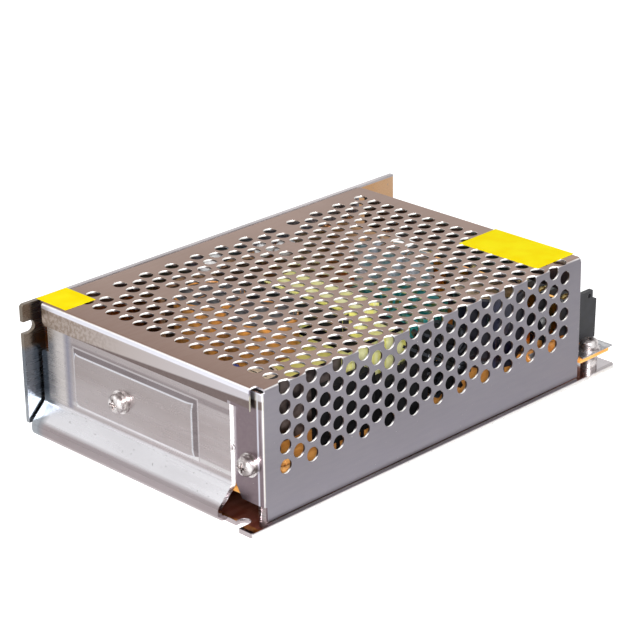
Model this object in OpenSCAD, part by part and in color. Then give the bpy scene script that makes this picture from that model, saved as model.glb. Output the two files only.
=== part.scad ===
// Mesh case switching power supply: a folded aluminium chassis, a perforated steel cover
// and a single circuit board with a screw terminal block at its end.
// X runs along the case towards the terminal block, Y across it towards the solid wall, Z up.
// The origin is the centre of the chassis's footprint, on the plane it stands on. Millimetres.

/* [Case] */
// Length of the chassis, end to end
case_l = 159; // [156:1:166]
// Width of the chassis
case_w = 98; // [96:1:104]
// Height over the cover
case_h = 42; // [42:0.5:46]
// Thickness of the chassis sheet
chassis_t = 1.5; // [1.2:0.1:1.8]
// Outside radius of the chassis bends
chassis_r = 2.4; // [2.2:0.1:2.8]

/* [End panel] */
// Distance that the end panel stands back from the end of the base
panel_back = 5.6; // [5.2:0.1:6.4]
// Height at which the panel starts to lean inwards
flare_z = 3.2; // [2.8:0.1:4]
// Clearance between the end panel and the solid wall
panel_slit = 0.9; // [0.6:0.1:1.4]
// Distance from the open side of the base to the end panel
panel_inset = 13.7; // [13:0.1:15]
// Height of the ear beside the panel
ear_z = 26.6; // [22:0.2:30]
// Width of the ear beside the panel
ear_w = 3.2; // [2:0.1:4]
// Length of the raised field in the panel
field_l = 53.6; // [46:0.2:56]
// Height of the raised field
field_h = 19; // [16:0.2:20]
// How far the field stands out
field_rise = 1.2; // [0.8:0.1:1.3]
// Width of the field's sloping border
field_slope = 1.5; // [1.2:0.1:2]
// Distance of the field's middle from the centre line
field_y = 4.8; // [2:0.2:6]
// Height of the field's middle
field_z = 21.9; // [21.5:0.1:22.5]

/* [Chassis slots and holes] */
// Width of the open mounting slots
slot_w = 3.8; // [3.2:0.1:4.4]
// Depth of the slot in the base
base_slot_l = 5.8; // [5:0.1:8]
// Distance of the base slot from the open side
base_slot_in = 7.1; // [6:0.1:7.4]
// Depth of the slot in the wall
wall_slot_l = 4.3; // [3.5:0.1:6]
// Distance of the wall slot below the top
wall_slot_down = 7.4; // [6:0.1:9]
// Length of the tapped hole pattern in the base
mount_l = 120; // [110:1:124]
// Width of the tapped hole pattern in the base
mount_w = 78; // [74:1:80]
// Core diameter of the tapped mounting holes
mount_d = 3.3; // [2.5:0.1:3.4]

/* [Cover] */
// Thickness of the cover sheet
cover_t = 0.6; // [0.5:0.1:0.8]
// Outside radius of the cover bends
cover_r = 1; // [0.9:0.1:1.2]
// Length of the cover
cover_l = 137.8; // [134:0.2:138]
// Distance of the cover's side from the edge of the base
cover_in = 1.5; // [1:0.1:2]
// Gap between the base and the cover's side
cover_gap = 0.4; // [0.2:0.1:0.8]
// Height of the lip over the end panel
lip_h = 7; // [5:0.2:8]
// Height of the lip above the terminal block
far_lip_h = 13; // [8:0.2:14]
// Width of the screwed flange at the near end
flange_w = 11.6; // [11:0.1:12]
// Height of the bottom of the end flanges
flange_z = 6.4; // [5:0.1:8]
// Depth of the flange inside the solid wall
wall_flange_h = 9; // [8:0.2:11]

/* [Perforation] */
// Distance between neighbouring holes
hole_pitch = 6; // [5.8:0.1:6.4]
// Diameter of a hole
hole_d = 4.4; // [3.6:0.1:4.6]
// Columns of holes along the cover
hole_columns = 24; // [20:1:24]
// Rows of holes across the top, in the even columns
hole_rows = 14; // [12:1:14]
// Rows of holes down the side, in the even columns
side_rows = 5; // [3:1:5]
// Distance of the first column from the near end of the cover
hole_first = 9.9; // [9:0.1:10.4]
// Distance of the first row from the side
row_first = 5.4; // [5.2:0.1:5.6]

/* [Circuit board] */
// Thickness of the board
board_t = 1.6; // [1.2:0.1:2]
// Height of the standoffs under the board
standoff_h = 4.4; // [3.5:0.1:5]
// Diameter of the standoffs
standoff_d = 5.2; // [4.8:0.1:5.6]
// Gap between the board and the cover's side
board_gap = 0.9; // [0.6:0.1:2]
// Gap between the board and the solid wall
board_wall_gap = 4; // [3.5:0.1:5]
// Width of the board's ear beyond the cover
board_ear = 1.4; // [1:0.1:1.6]

/* [Fasteners] */
// Diameter of the M3 shanks
screw_d = 2.9; // [2.5:0.1:3]
// Diameter of the pan heads
head_d = 5.8; // [5:0.1:6.2]
// Height of the pan heads
head_h = 2; // [1.6:0.1:2.4]
// Diameter of the flat washers
washer_d = 7.2; // [6.8:0.1:7.6]
// Clearance of a shank in its hole
shank_gap = 0.05; // [0.02:0.01:0.1]

/* [Terminal block] */
// Number of poles
poles = 7; // [7:1:7]
// Distance between the poles
pole_pitch = 9.5; // [9:0.1:9.8]
// Thickness of the barriers between the poles
barrier_t = 1.6; // [1.2:0.1:1.8]
// Length of the block along the case
block_l = 14.6; // [14:0.1:14.8]
// Height of the barriers above the board
block_h = 17.6; // [17:0.1:18]
// Height of the contact plates above the board
contact_z = 12; // [11:0.1:12.5]
// Thickness of the contact plates
contact_t = 0.8; // [0.6:0.1:1]
// Side of the square clamping plates
clamp_w = 7; // [6.4:0.1:7.1]
// Thickness of the clamping plates
clamp_t = 1; // [0.8:0.1:1.2]
// Travel of a clamping plate when its screw is undone
clamp_travel = 3; // [2:0.1:3.2]

/* [Parts on the board] */
// Diameter of the two capacitors beside the transformer
bulk_d = 22; // [20:0.5:22]
// Height of the two capacitors beside the transformer
bulk_h = 30; // [25:0.5:31]
// Diameter of the dark capacitor beside the cover
line_cap_d = 22; // [18:0.5:22]
// Height of the dark capacitor
line_cap_h = 23.5; // [18:0.5:25]
// Diameter of the output capacitors
out_cap_d = 10; // [8:0.5:10]
// Height of the output capacitors
out_cap_h = 20; // [16:0.5:22]
// Diameter of the small upright capacitor
aux_cap_d = 12.5; // [10:0.5:13]
// Height of the small upright capacitor
aux_cap_h = 25; // [16:0.5:26]
// Length of the transformer core across the case
core_l = 50; // [46:0.5:50]
// Width of the transformer core
core_w = 26; // [24:0.5:26]
// Thickness of the transformer core
core_t = 13; // [11:0.5:14]
// Length of the taped winding
coil_l = 34; // [30:0.5:36]
// Width of the taped winding
coil_w = 14; // [12:0.5:15]
// Height of the taped winding above the board
coil_h = 28.6; // [26:0.2:29]
// Outer diameter of the output choke's ring
choke_d = 33; // [28:0.5:33]
// Hole of the output choke's ring
choke_bore = 18; // [16:0.5:20]
// Thickness of the output choke's ring
choke_t = 12; // [10:0.5:13]
// Wire of the output choke
choke_wire = 1.2; // [0.8:0.1:1.4]

/* [Labels] */
// Thickness of the stickers
label_t = 0.12; // [0.1:0.01:0.2]
// Length of the large sticker across the case
label_l = 31.6; // [24:0.2:33]
// Width of the large sticker
label_w = 17.2; // [14:0.2:18]
// Length of the small sticker across the case
tag_l = 13.5; // [10:0.1:14]
// Width of the small sticker
tag_w = 11.4; // [8:0.1:12]

/* [Hidden] */
eps = 0.01;

// Planes of the case
x_near = -case_l / 2;
x_far = case_l / 2;
y_open = -case_w / 2;
y_wall = case_w / 2 - chassis_t;
x_panel = x_near + panel_back;
panel_y0 = y_open + panel_inset;
panel_y1 = y_wall - panel_slit;
side_y = y_open + cover_in;
cover_x0 = x_panel - cover_t;
cover_x1 = cover_x0 + cover_l;
cover_z0 = chassis_t + cover_gap;
cover_y1 = y_wall;
inner_r = cover_r - cover_t;
flange_x = x_panel + chassis_t - cover_t;
flange_y1 = side_y + flange_w;

// Perforation: rows and columns of a sixty-degree pattern
column_step = hole_pitch * sqrt(3) / 2;
hole_x0 = cover_x0 + hole_first;
hole_y0 = side_y + row_first;
bend_flat = cover_r - (cover_r - 0.6 * cover_t) * PI / 2;
side_z0 = case_h - hole_pitch + row_first - cover_r + bend_flat;
unpunched = [[2, 13], [16, 13], [4, 11], [14, 11]];

// Board
board_z0 = chassis_t + standoff_h;
board_z = board_z0 + board_t;
board_x0 = x_panel + chassis_t + 1.8;
board_x1 = x_far - 1.6;
board_y0 = side_y + cover_t + board_gap;
board_y1 = y_wall - board_wall_gap;
ear_y0 = board_y0 - board_ear;
ear_x0 = cover_x1 + 0.6;
stand_inset = 3.6;
stands = [[board_x1 - 6.4, ear_y0 + 2.7], [board_x1 - 6.4, board_y1 - stand_inset],
          [board_x0 + stand_inset, board_y0 + stand_inset], [board_x0 + stand_inset, board_y1 - stand_inset]];
plate_t = 0.5;

// Screws in the two ends and in the wall
field_x = x_panel - field_rise;
recess_x = field_x + chassis_t + eps;
panel_screw = [9.5, 21.4];
flange_screw = [side_y + 5.6, 18];
flat_t = 0.5;
spring_t = 0.7;
spring_d = 5.2;
tapped_d = screw_d + 2 * shank_gap;
wall_screw_x = [cover_x0 + 14, cover_x0 + cover_l / 2, cover_x1 - 14];
wall_screw_z = case_h - 5.6;
clamp_x = [-17, 5];
clamp_z = 22;
csk_d = 5.6;

// Terminal block
block_x1 = x_far - 0.4;
block_x0 = block_x1 - block_l;
block_y0 = y_open + 8;
block_w = poles * pole_pitch + barrier_t;
block_foot = 1.2;
block_z0 = board_z + block_foot;
block_z1 = board_z + block_h;
pole_z = board_z + contact_z;
clamp_gap = 0.15;
pole_x = block_x1 - 6.6;
block_wall = 1.8;
stud_d = 3.4;
screw_head_d = 6.2;
screw_head_h = 2.4;

// Transformer
coil_x = -3;
coil_y = 1;
core_z0 = board_z + 8.6;
core_mid = 7;
ring_x = 33;
ring_y = 4.5;
choke_gap = 0.15;
line_choke = [12, -34];
line_cap = [46, -24.5];
trimmer = [73, block_y0 + block_w + 4.3];
rotor_d = 4.4;
rotor_z = board_z + 5.4;

// ---------------------------------------------------------------- helpers

// A flat outline drawn in Y and Z, given thickness along X
module along_x(x0, x1) translate([x0, 0, 0]) rotate([90, 0, 90]) linear_extrude(height = x1 - x0) children();

// A flat outline drawn in X and Z, given thickness along Y
module along_y(y0, y1) translate([0, y1, 0]) rotate([90, 0, 0]) linear_extrude(height = y1 - y0) children();

// A flat outline drawn in X and Y, given thickness along Z
module along_z(z0, z1) translate([0, 0, z0]) linear_extrude(height = z1 - z0) children();

// A box between two corners
module block(a, b) translate(a) cube(b - a);

// A rectangle between two corners
module rect(a, b) translate(a) square(b - a);

// The cross-section of a bend in sheet: part of a ring, up to a quarter turn
module bend(centre, r, t, a0, a1) translate(centre) difference() {
    intersection() {
        circle(r = r, $fn = 64);
        polygon(concat([[0, 0]], [for (k = [0:2]) 2 * r * unit(a0 + (a1 - a0) * k / 2)]));
    }
    circle(r = r - t, $fn = 64);
}

// What a rounded corner takes off a square one; sx and sy point out of the corner
module corner_cut(p, r, sx, sy) difference() {
    rect([min(p.x - sx * r, p.x + sx), min(p.y - sy * r, p.y + sy)],
         [max(p.x - sx * r, p.x + sx), max(p.y - sy * r, p.y + sy)]);
    translate([p.x - sx * r, p.y - sy * r]) circle(r = r, $fn = 48);
    rect([min(p.x - sx * r, p.x - sx * (r + 2)), p.y - 2 * r - 2], [max(p.x - sx * r, p.x - sx * (r + 2)), p.y + 2]);
}

function unit(a) = [cos(a), sin(a)];
function arc(centre, r, a0, a1, n = 6) = [for (k = [0:n]) centre + r * unit(a0 + (a1 - a0) * k / n)];

// ---------------------------------------------------------------- chassis

// Side view of the folded end: base, upright edge, lean inwards, panel
module end_profile() {
    r_in = chassis_r - chassis_t;
    lean = unit(45);
    c1 = [x_near + chassis_r, flare_z];
    p1 = c1 + chassis_r * unit(135);
    q_x = x_panel - r_in + r_in * lean.x;
    c2 = [x_panel - r_in, p1.y + q_x - p1.x + r_in * lean.y];
    top = case_h - cover_r;
    foot = [x_near + chassis_r, chassis_r];
    polygon(concat([[foot.x + eps, 0]], arc(foot, chassis_r, 270, 180), arc(c1, chassis_r, 180, 135),
        arc(c2, r_in, -45, 0), [[x_panel, top], [x_panel + chassis_t, top]], arc(c2, chassis_r, 0, -45),
        arc(c1, r_in, 135, 180), arc(foot, r_in, 180, 270), [[foot.x + eps, chassis_t]]));
}

// The raised field, as a block with sloping borders; grow widens it and x_off moves it along X
module field_block(grow, x_off) {
    r = 2.5;
    hull() for (k = [0, 1]) {
        inset = k * field_slope - grow;
        translate([x_off - k * field_rise, field_y, field_z]) rotate([90, 0, 90]) linear_extrude(height = eps)
            for (sy = [-1, 1], sz = [-1, 1])
                translate([sy * (field_l / 2 - r - inset), sz * (field_h / 2 - r - inset)]) circle(r = r, $fn = 32);
    }
}

module end_panel() {
    ear_y = panel_y1 - ear_w;
    difference() {
        union() {
            along_y(panel_y0, panel_y1) end_profile();
            field_block(0, x_panel + eps);
        }
        field_block(-chassis_t / 4, x_panel + chassis_t + eps);
        block([x_near - 1, ear_y, ear_z], [x_panel + 3, panel_y1 + 1, case_h]);
        along_x(x_near - 1, x_panel + 3) {
            polygon([[panel_y1 - 0.8, ear_z + eps], [panel_y1 + eps, ear_z + eps], [panel_y1 + eps, ear_z - 0.8]]);
            polygon([[panel_y0 - eps, case_h], [panel_y0 - eps, case_h - lip_h], [panel_y0 + 0.6, case_h]]);
        }
    }
}

// The tapped ear, lanced out of the panel's edge, that the cover's flange is screwed to
module flange_ear() {
    x = x_panel + chassis_t;
    block([x, side_y + cover_t + 1, flange_screw.y - 5.5], [x + chassis_t, panel_y0 + 2, flange_screw.y + 3.6]);
    // the torn edge left by the lancing tool
    along_x(x_panel + 0.2, flange_x - 0.1)
        polygon([[panel_y0 + eps, flange_screw.y + 2.2], [panel_y0 - 0.9, flange_screw.y + 3.2],
                 [panel_y0 - 0.5, flange_screw.y + 3.9], [panel_y0 + eps, flange_screw.y + 4.6]]);
}

module chassis() color("gainsboro") {
    slot_y = y_open + base_slot_in;
    wall_slot_z = case_h - wall_slot_down;
    difference() {
        union() {
            difference() {
                // base and solid wall, folded along one bend
                along_x(x_near, x_far) {
                    rect([y_open, 0], [case_w / 2 - chassis_r + eps, chassis_t]);
                    rect([y_wall, chassis_r - eps], [case_w / 2, case_h]);
                    bend([case_w / 2 - chassis_r, chassis_r], chassis_r, chassis_t, -90, 0);
                }
                // room for the end panel's bend
                block([x_near - 1, panel_y0 - 0.6, -1], [x_near + chassis_r, case_w / 2 + 1, chassis_r + 1.5]);
                block([x_near - 1, slot_y, -1], [x_near + 2.5, panel_y0, chassis_t + 1]);
                // open slot in the base
                along_z(-1, chassis_t + 1) {
                    rect([x_near - 1, slot_y - slot_w / 2], [x_near + base_slot_l - slot_w / 2, slot_y + slot_w / 2]);
                    translate([x_near + base_slot_l - slot_w / 2, slot_y]) circle(d = slot_w, $fn = 48);
                    corner_cut([x_near, y_open], 1, -1, -1);
                    corner_cut([x_far, y_open], 1.5, 1, -1);
                }
                // open slot in the wall
                along_y(y_wall - 1, case_w / 2 + 1) {
                    rect([x_near - 1, wall_slot_z - slot_w / 2],
                         [x_near + wall_slot_l - slot_w / 2, wall_slot_z + slot_w / 2]);
                    translate([x_near + wall_slot_l - slot_w / 2, wall_slot_z]) circle(d = slot_w, $fn = 48);
                    corner_cut([x_near, case_h], 1, -1, 1);
                }
            }
            end_panel();
            flange_ear();
        }
        // tapped mounting holes in the base
        for (sx = [-1, 1], sy = [-1, 1])
            translate([sx * mount_l / 2, sy * mount_w / 2, -1]) cylinder(d = mount_d, h = chassis_t + 2, $fn = 48);
        // holes of the panel screw and of the flange screw
        for (p = [panel_screw, flange_screw])
            translate([x_panel - 3, p.x, p.y]) rotate([0, 90, 0]) cylinder(d = tapped_d, h = 9, $fn = 48);
        // countersunk holes in the wall
        for (x = wall_screw_x) wall_hole(x, wall_screw_z);
        for (x = clamp_x) wall_hole(x, clamp_z);
    }
}

// A countersunk hole through the solid wall
module wall_hole(x, z) {
    sink = (csk_d - tapped_d) / 2;
    translate([x, case_w / 2, z]) rotate([90, 0, 0]) {
        translate([0, 0, -1]) cylinder(d = tapped_d, h = chassis_t + 2, $fn = 48);
        cylinder(d1 = csk_d, d2 = tapped_d, h = sink, $fn = 48);
    }
}

// ---------------------------------------------------------------- cover

function is_punched(i, j) = len([for (u = unpunched) if (u == [i, j]) 1]) == 0;

module cover() color("rosybrown") {
    side_len0 = flange_x + cover_r;
    lip_y0 = side_y + 3.7;
    lip_y1 = cover_y1 - 2.7;
    far_x = cover_x1 - cover_r;
    difference() {
        union() {
            // top, side and the flange inside the solid wall
            along_x(side_len0, far_x) {
                rect([side_y + cover_r - eps, case_h - cover_t], [cover_y1 - cover_r + eps, case_h]);
                rect([side_y, cover_z0], [side_y + cover_t, case_h - cover_r + eps]);
                rect([cover_y1 - cover_t, case_h - wall_flange_h], [cover_y1, case_h - cover_r + eps]);
                bend([side_y + cover_r, case_h - cover_r], cover_r, cover_t, 90, 180);
                bend([cover_y1 - cover_r, case_h - cover_r], cover_r, cover_t, 0, 90);
            }
            // top sheet out to the lip at each end
            along_z(case_h - cover_t, case_h) {
                rect([cover_x0 + cover_r - eps, lip_y0], [side_len0 + eps, cover_y1 - cover_r]);
                rect([far_x - eps, lip_y0], [far_x + eps, lip_y1]);
            }
            // lip over the end panel
            along_y(lip_y0, lip_y1) bend([cover_x0 + cover_r, case_h - cover_r], cover_r, cover_t, 90, 180);
            along_x(cover_x0, cover_x0 + cover_t)
                polygon([[lip_y0, case_h - cover_r + eps], [lip_y0, case_h - lip_h], [lip_y1 - 1, case_h - lip_h],
                         [lip_y1, case_h - lip_h + 1], [lip_y1, case_h - cover_r + eps]]);
            // lip above the terminal block
            along_y(lip_y0, lip_y1) bend([far_x, case_h - cover_r], cover_r, cover_t, 0, 90);
            along_x(cover_x1 - cover_t, cover_x1)
                rect([lip_y0, case_h - far_lip_h], [lip_y1, case_h - cover_r + eps]);
            // flange screwed to the chassis, and the narrow one at the other end
            along_z(flange_z, case_h - cover_t - 0.6)
                bend([side_len0, side_y + cover_r], cover_r, cover_t, 180, 270);
            along_x(flange_x, flange_x + cover_t)
                polygon([[side_y + cover_r - eps, flange_z], [flange_y1 - 2.5, flange_z], [flange_y1, flange_z + 4.5],
                         [flange_y1, case_h - cover_t - 0.6], [side_y + cover_r - eps, case_h - cover_t - 0.6]]);
            along_z(board_z + cover_gap, case_h - cover_r - 0.4)
                bend([far_x, side_y + cover_r], cover_r, cover_t, 270, 360);
            along_x(cover_x1 - cover_t, cover_x1)
                rect([side_y + cover_r - eps, board_z + cover_gap], [side_y + 3.4, case_h - cover_r - 0.4]);
        }
        perforation();
        // hole of the flange screw, and tapped holes of the wall screws
        translate([flange_x - 1, flange_screw.x, flange_screw.y]) rotate([0, 90, 0])
            cylinder(d = tapped_d, h = 3, $fn = 48);
        for (x = wall_screw_x)
            translate([x, cover_y1 + 1, wall_screw_z]) rotate([90, 0, 0]) cylinder(d = tapped_d, h = 3, $fn = 48);
    }
}

// The punched holes: rows across the top, rows down the side, and those that the bend runs through
module perforation() {
    for (i = [0:hole_columns - 1]) {
        odd = i % 2;
        x = hole_x0 + i * column_step;
        rows = hole_rows + odd;
        for (j = [0:rows - 1])
            if (is_punched(i, j))
                translate([x, hole_y0 + (j - odd / 2) * hole_pitch, case_h - cover_r])
                    cylinder(d = hole_d, h = cover_r + 1, $fn = 32);
        for (k = [0:side_rows - 1 - odd])
            translate([x, side_y - 1, side_z0 - (k + odd / 2) * hole_pitch]) rotate([-90, 0, 0])
                cylinder(d = hole_d, h = 1 + cover_t + inner_r, $fn = 32);
        // the top's share of a hole that was punched across the bend
        if (odd == 0)
            translate([x, hole_y0 - hole_pitch, case_h - cover_r]) cylinder(d = hole_d, h = cover_r + 1, $fn = 32);
    }
}

// ---------------------------------------------------------------- stickers

module labels() color("yellow") {
    z = case_h;
    block([cover_x1 - label_w - 0.2, side_y + 3.5, z], [cover_x1 - 0.2, side_y + 3.5 + label_l, z + label_t]);
    block([cover_x0 + 1.3, case_w / 2 - 0.4 - tag_l, z], [cover_x0 + 1.3 + tag_w, case_w / 2 - 0.4, z + label_t]);
}

// ---------------------------------------------------------------- circuit board and what holds it

module circuit_board() color("peru") along_z(board_z0, board_z) difference() {
    union() {
        rect([board_x0, board_y0], [board_x1, board_y1]);
        rect([ear_x0, ear_y0], [board_x1, board_y1]);
    }
    for (p = stands) translate(p) circle(d = tapped_d + 0.3, $fn = 48);
}

// Plated plate under the corner screw, which earths the board to the case
module ground_plate() color("gray") along_z(board_z, board_z + plate_t) difference() {
    rect([ear_x0 + 0.2, ear_y0 - 0.7], [board_x1 + 0.8, block_y0 - 0.6]);
    translate(stands[0]) circle(d = tapped_d + 0.3, $fn = 48);
}

module board_standoffs() color("silver") for (p = stands) translate([p.x, p.y, chassis_t]) difference() {
    cylinder(d = standoff_d, h = standoff_h, $fn = 48);
    translate([0, 0, 0.6]) cylinder(d = tapped_d, h = standoff_h, $fn = 48);
}

// A cross-recessed pan head screw, head up, with the underside of its head at the origin
module pan_screw(length) {
    difference() {
        union() {
            translate([0, 0, -length]) cylinder(d = screw_d, h = length + eps, $fn = 48);
            rotate_extrude($fn = 64)
                polygon(concat([[0, 0], [head_d / 2, 0]], arc([head_d / 2 - head_h * 0.7, head_h * 0.3],
                    head_h * 0.7, 0, 90, 8), [[0, head_h]]));
        }
        cross_recess(head_d * 0.55, head_h * 0.6, head_h);
    }
}

// The driver's cross, cut down from height z
module cross_recess(span, depth, z) {
    arm = span * 0.24;
    for (a = [0, 90]) rotate([0, 0, a]) translate([-span / 2, -arm / 2, z - depth]) cube([span, arm, depth + 1]);
}

module washer(d, t) difference() {
    cylinder(d = d, h = t, $fn = 64);
    translate([0, 0, -1]) cylinder(d = tapped_d, h = t + 2, $fn = 48);
}

// A spring washer, split and slightly open
module split_washer() difference() {
    washer(spring_d, spring_t);
    rotate([0, 0, 35]) translate([0, -0.25, -1]) cube([spring_d, 0.5, spring_t + 2]);
}

// Where each pan screw sits: its face, its direction, and what the face is
module at_board(k) translate([stands[k].x, stands[k].y, board_z + (k == 0 ? plate_t : 0)]) children();
module at_end(x, p) translate([x, p.x, p.y]) rotate([0, -90, 0]) children();

module board_screws() color("silver") for (k = [0:3]) at_board(k) translate([0, 0, flat_t + spring_t]) pan_screw(5);

module case_screws() color("silver") {
    at_end(field_x, panel_screw) translate([0, 0, flat_t + spring_t]) pan_screw(8);
    at_end(flange_x, flange_screw) translate([0, 0, flat_t + spring_t]) pan_screw(5);
}

module flat_washers() color("silver") {
    for (k = [0:3]) at_board(k) washer(washer_d, flat_t);
    at_end(field_x, panel_screw) washer(washer_d, flat_t);
    at_end(flange_x, flange_screw) washer(washer_d, flat_t);
}

module spring_washers() color("silver") {
    for (k = [0:3]) at_board(k) translate([0, 0, flat_t]) split_washer();
    at_end(field_x, panel_screw) translate([0, 0, flat_t]) split_washer();
    at_end(flange_x, flange_screw) translate([0, 0, flat_t]) split_washer();
}

// A countersunk screw set into the solid wall, its head flush with the wall
module csk_screw(x, z, length) translate([x, case_w / 2, z]) rotate([90, 0, 0]) difference() {
    sink = (csk_d - tapped_d) / 2;
    union() {
        cylinder(d1 = csk_d - 0.1, d2 = tapped_d - 0.1, h = sink, $fn = 48);
        cylinder(d = screw_d, h = length, $fn = 48);
    }
    rotate([180, 0, 0]) cross_recess(csk_d * 0.5, 1, 0);
}

module wall_screws() color("silver") for (x = wall_screw_x) csk_screw(x, wall_screw_z, chassis_t + cover_t + 1.2);

// ---------------------------------------------------------------- transformer

// E-cores, closed into a frame with a middle leg through the winding, lying flat
module transformer_core() color("darkslategray") {
    leg = (core_w - coil_w) / 2;
    yoke = (core_l - coil_l) / 2 - 0.8;
    translate([coil_x, coil_y, core_z0]) along_z(0, core_t) difference() {
        rect([-core_w / 2, -core_l / 2], [core_w / 2, core_l / 2]);
        for (s = [-1, 1])
            rect([s < 0 ? -coil_w / 2 : core_mid / 2, -core_l / 2 + yoke],
                 [s < 0 ? -core_mid / 2 : coil_w / 2, core_l / 2 - yoke]);
    }
}

// The moulded bobbin: a tube round the middle leg, end flanges, and a base with a row of pins
module transformer_bobbin() color("black") {
    flange_t = 0.8;
    z0 = core_z0;
    gap = 0.1;
    yoke_y = coil_l / 2;
    flange_r = coil_w / 2 - gap;
    for (s = [-1, 1]) {
        y0 = coil_y + s * (yoke_y + flange_t / 2);
        translate([coil_x, 0, 0]) along_y(y0 - flange_t / 2 + gap / 2, y0 + flange_t / 2 - gap / 2) difference() {
            rect([-flange_r, board_z + 2.4], [flange_r, z0 + core_t + 6.4]);
            rect([-core_mid / 2 - gap, z0 - gap], [core_mid / 2 + gap, z0 + core_t + gap]);
        }
        // terminal rail under the yoke, standing on the board
        block([coil_x - core_w / 2, min(coil_y + s * (yoke_y + gap), coil_y + s * (core_l / 2 + 5)), board_z],
              [coil_x + core_w / 2, max(coil_y + s * (yoke_y + gap), coil_y + s * (core_l / 2 + 5)), board_z + 3]);
        block([coil_x - core_w / 2 + 1, coil_y + s * (core_l / 2 - 3) - 2.4, board_z + 3 - eps],
              [coil_x + core_w / 2 - 1, coil_y + s * (core_l / 2 - 3) + 2.4, z0]);
        for (k = [-3:3]) translate([coil_x + k * 3.6, coil_y + s * (core_l / 2 + 3.6), board_z + 3 - eps])
            cylinder(d = 0.8, h = 3, $fn = 24);
    }
}

// The winding under its yellow tape: a rounded block with the bobbin's flanges at its ends
module transformer_winding() color("khaki") translate([coil_x, coil_y, 0]) {
    gap = 0.15;
    r = 3;
    a = coil_w / 2 - 0.3;
    z0 = board_z + 3.2;
    z1 = board_z + coil_h;
    along_y(-coil_l / 2 + gap, coil_l / 2 - gap) difference() {
        rect([-a, z0], [a, z1]);
        corner_cut([a, z1], r, 1, 1);
        corner_cut([-a, z1], r, -1, 1);
        corner_cut([a, z0], r, 1, -1);
        corner_cut([-a, z0], r, -1, -1);
        rect([-core_mid / 2 - gap, core_z0 - gap], [core_mid / 2 + gap, core_z0 + core_t + gap]);
    }
}

// Tape round the outside of the core
module core_tape() color("khaki") translate([coil_x, coil_y, core_z0 + 1.2]) along_z(0, core_t - 2.4) difference() {
    rect([-core_w / 2 - 0.3, -core_l / 2 - 0.3], [core_w / 2 + 0.3, core_l / 2 + 0.3]);
    rect([-core_w / 2, -core_l / 2], [core_w / 2, core_l / 2]);
}

// ---------------------------------------------------------------- capacitors

// An upright electrolytic capacitor: rolled foot, groove under the rim, sunk top with a cross scored in it
module can(p, d, h, tone) translate([p.x, p.y, board_z]) color(tone) difference() {
    r = d / 2;
    rotate_extrude($fn = 64)
        polygon(concat([[0, 0], [r - 0.8, 0]], arc([r - 0.8, 0.8], 0.8, -90, 0, 4),
            arc([r + 0.5, 2.6], 1, 211, 149, 4), [[r, 3.8]],
            arc([r - 0.8, h - 0.8], 0.8, 0, 90, 4), [[r - 1.4, h], [r - 1.6, h - 0.4], [0, h - 0.4]]));
    for (a = [0, 90]) rotate([0, 0, a]) translate([-r * 0.6, -0.2, h - 0.6]) cube([r * 1.2, 0.4, 1]);
}

bulk_x = coil_x - core_w / 2 - 0.7 - bulk_d / 2;
module bulk_capacitor_1() can([bulk_x, coil_y - 1], bulk_d, bulk_h, "black");
module bulk_capacitor_2() can([bulk_x, coil_y - 1 + bulk_d + 0.8], bulk_d, bulk_h, "black");
module line_capacitor() can(line_cap, line_cap_d, line_cap_h, "midnightblue");
module aux_capacitor() can([board_x0 + 20, board_y0 + 24], aux_cap_d, aux_cap_h, "black");
module output_capacitors() for (k = [0:2]) can([cover_x1 - 6, board_y1 - 6 - k * 11], out_cap_d, out_cap_h, "black");

// A box film capacitor
module x_capacitor() color("gold") {
    p = [bulk_x - 2.4, coil_y - bulk_d / 2 - 7.4];
    block([p.x - 13, p.y - 5, board_z], [p.x + 13, p.y + 5, board_z + 19.5]);
}

// A lacquered disc standing on two leads; turn is about Z
module disc(p, d, t, lift, turn, tone) translate([p.x, p.y, board_z]) rotate([0, 0, turn]) {
    color(tone) translate([0, 0, lift + d / 2]) rotate([90, 0, 0]) rotate_extrude($fn = 64)
        polygon([[0, -t / 2], [d / 2 - t * 0.3, -t / 2], [d / 2, -t * 0.2], [d / 2, t * 0.2],
                 [d / 2 - t * 0.3, t / 2], [0, t / 2]]);
    color("silver") for (s = [-1, 1]) translate([s * d * 0.28 - 0.4, -0.4, 0]) cube([0.8, 0.8, lift + d * 0.2]);
}

module y_capacitors() {
    disc([bulk_x - 17, coil_y - 6], 11, 3.4, 9, 25, "royalblue");
    disc([bulk_x - 17, coil_y + 14], 11, 3.4, 9, 70, "royalblue");
}
module varistor() disc([31.5, side_y + cover_t + 5.4], 13, 4, 15.5, 20, "deepskyblue");
module thermistor() disc([59.6, side_y + 14], 9, 4, 5, 90, "darkgreen");

// ---------------------------------------------------------------- chokes

// A turn of wire round a ring's section, as a flat loop of the wire's thickness
module turn(r0, r1, h, wire, gap) rotate([90, 0, 0]) translate([0, 0, -wire / 2]) linear_extrude(height = wire) difference() {
    rect([r0 - gap - wire, -gap - wire], [r1 + gap + wire, h + gap + wire]);
    rect([r0 - gap, -gap], [r1 + gap, h + gap]);
    corner_cut([r0 - gap - wire, -gap - wire], wire, -1, -1);
    corner_cut([r0 - gap - wire, h + gap + wire], wire, -1, 1);
    corner_cut([r1 + gap + wire, -gap - wire], wire, 1, -1);
    corner_cut([r1 + gap + wire, h + gap + wire], wire, 1, 1);
}

// A pressed powder ring, lying flat at the origin
module ring(d, bore, t) rotate_extrude($fn = 96) {
    r = 1;
    polygon(concat(arc([bore / 2 + r, r], r, 180, 270, 4), arc([d / 2 - r, r], r, 270, 360, 4),
        arc([d / 2 - r, t - r], r, 0, 90, 4), arc([bore / 2 + r, t - r], r, 90, 180, 4)));
}

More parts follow.
